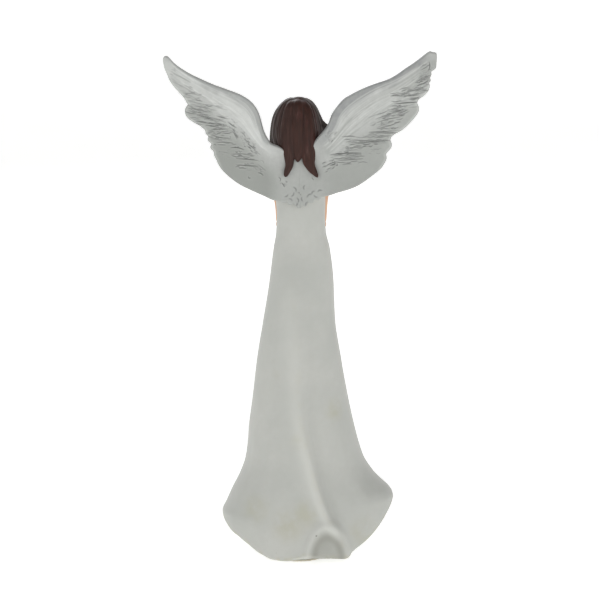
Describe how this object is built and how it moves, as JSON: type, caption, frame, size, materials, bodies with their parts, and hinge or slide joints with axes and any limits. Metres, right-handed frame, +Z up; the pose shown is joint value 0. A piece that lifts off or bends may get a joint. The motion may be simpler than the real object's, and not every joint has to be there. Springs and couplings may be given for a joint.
{
  "type": "angel figurine",
  "caption": "Standing resin angel figurine in a long flared white gown, with raised feathered wings, long brown hair and praying hands, on a felt-covered foot.",
  "frame": {"origin": "on the underside of the felt, at its centre, level with the surface that the figurine stands on", "axes": "+Z up, -Y the way the face looks, +X towards the angel's own left"},
  "size_m": [0.1284, 0.0599, 0.255],
  "materials": {
    "gown_resin": "painted cast resin, satin off-white with faint cream stains",
    "wing_resin": "painted cast resin, off-white with a silver-grey wash in the feather grooves",
    "skin_resin": "painted cast resin, satin skin tone",
    "hair_resin": "painted cast resin, satin dark red-brown",
    "plain_resin": "unpainted cast resin",
    "felt": "pressed wool felt, cream",
    "dowel_steel": "plain drawn wire"
  },
  "bodies": {
    "root": {"gown": "gown_resin", "bottom_plate": "plain_resin", "felt_base": "felt", "head": "skin_resin", "hair": "hair_resin", "left_wing": "wing_resin", "right_wing": "wing_resin", "left_arm": "skin_resin", "right_arm": "skin_resin", "neck_dowel": "dowel_steel", "wing_dowels": "dowel_steel", "arm_dowels": "dowel_steel"}
  },
  "joints": []
}
